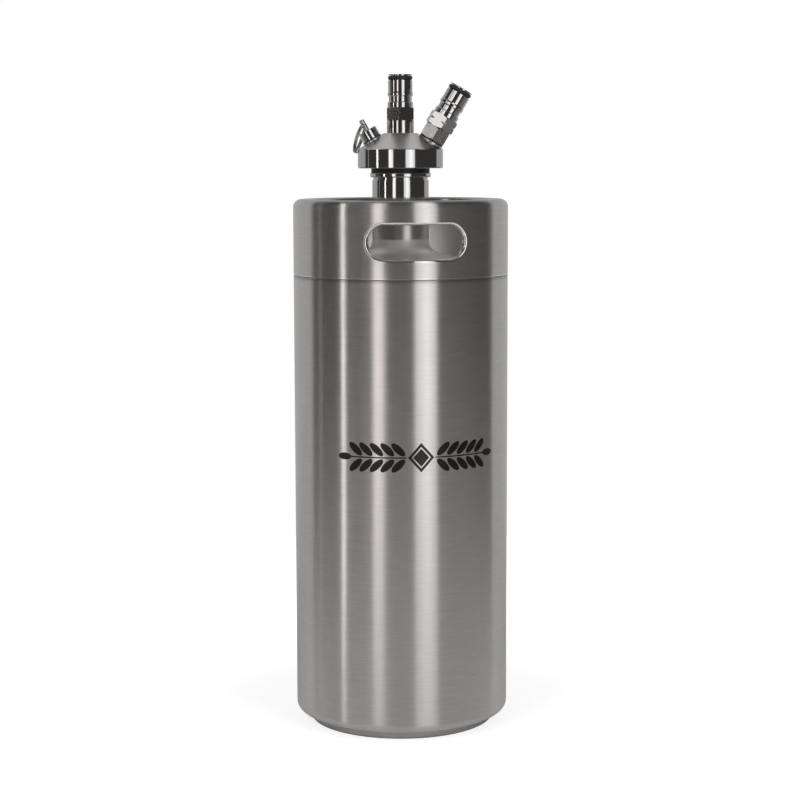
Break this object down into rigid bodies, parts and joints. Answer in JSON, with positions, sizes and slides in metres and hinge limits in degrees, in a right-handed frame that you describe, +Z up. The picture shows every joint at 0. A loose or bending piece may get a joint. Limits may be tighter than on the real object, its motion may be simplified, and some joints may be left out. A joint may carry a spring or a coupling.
{
  "type": "mini keg beer dispenser",
  "caption": "Double-walled stainless steel mini keg with a hand slot in its skirt and a screw-in tapping head that carries liquid and gas quick-connect posts and a pull-ring relief valve.",
  "frame": {"origin": "on the floor, at the middle of the foot ring", "axes": "+Z up along the keg's axis, -Y the front where the hand slot is, +X towards the gas post"},
  "size_m": [0.14, 0.14, 0.4245],
  "materials": {
    "brushed_keg": "brushed round the keg",
    "pressed_steel": "satin, as pressed",
    "polished_steel": "polished, cone satin",
    "post_steel": "polished",
    "adapter_steel": "satin",
    "valve_steel": "polished",
    "poppet_steel": "satin",
    "black_rubber": "matte",
    "spring_steel": "drawn wire",
    "ring_steel": "polished wire",
    "solder": "dull"
  },
  "bodies": {
    "keg": {"outer_shell": "brushed_keg", "outer_shoulder": "pressed_steel", "inner_vessel": "pressed_steel", "neck_tube": "polished_steel", "handle_skirt": "brushed_keg", "foot_ring": "brushed_keg", "base_plate": "pressed_steel", "vacuum_seal_plug": "solder"},
    "head_seal": {"head_gasket": "black_rubber"},
    "tapping_head": {"head_body": "polished_steel", "liquid_post": "post_steel", "liquid_post_oring": "black_rubber", "liquid_poppet_spring": "spring_steel", "dip_tube": "polished_steel", "dip_tube_oring": "black_rubber", "gas_port_washer": "black_rubber", "gas_port_adapter": "adapter_steel", "gas_post": "post_steel", "gas_post_oring": "black_rubber", "gas_poppet_spring": "spring_steel", "relief_valve_washer": "black_rubber", "relief_valve_body": "valve_steel", "relief_valve_cap": "valve_steel", "relief_spring": "spring_steel"},
    "liquid_poppet": {"liquid_poppet": "poppet_steel", "liquid_poppet_seal": "black_rubber"},
    "gas_poppet": {"gas_poppet": "poppet_steel", "gas_poppet_seal": "black_rubber"},
    "relief_stem": {"relief_stem": "valve_steel", "relief_seal": "black_rubber"},
    "pull_ring": {"pull_ring": "ring_steel"}
  },
  "joints": [
    {"name": "head_lift", "type": "slide", "parent": "keg", "child": "head_seal", "axis": [0, 0, 1], "range_m": [0, 0.36]},
    {"name": "head_unscrew", "type": "hinge", "parent": "head_seal", "child": "tapping_head", "pos_m": [0, 0, 0.3642], "axis": [0, 0, 1], "range_deg": [0, 1260]},
    {"name": "liquid_poppet_press", "type": "slide", "parent": "tapping_head", "child": "liquid_poppet", "axis": [0, 0, -1], "range_m": [0, 0.003], "stiffness_N_per_m": 1000, "springref_m": -0.004, "deforming": ["liquid_poppet_spring"]},
    {"name": "gas_poppet_press", "type": "slide", "parent": "tapping_head", "child": "gas_poppet", "axis": [-0.506, 0, -0.8625], "range_m": [0, 0.003], "stiffness_N_per_m": 1000, "springref_m": -0.004, "deforming": ["gas_poppet_spring"]},
    {"name": "relief_pull", "type": "slide", "parent": "tapping_head", "child": "relief_stem", "axis": [-0.5, 0, 0.866], "range_m": [0, 0.002], "stiffness_N_per_m": 2000, "springref_m": -0.004, "deforming": ["relief_spring"]},
    {"name": "ring_swing", "type": "hinge", "parent": "relief_stem", "child": "pull_ring", "pos_m": [-0.02395, 0, 0.39262], "axis": [0.2387, 0.9613, 0.1378], "range_deg": [0, 180]}
  ]
}
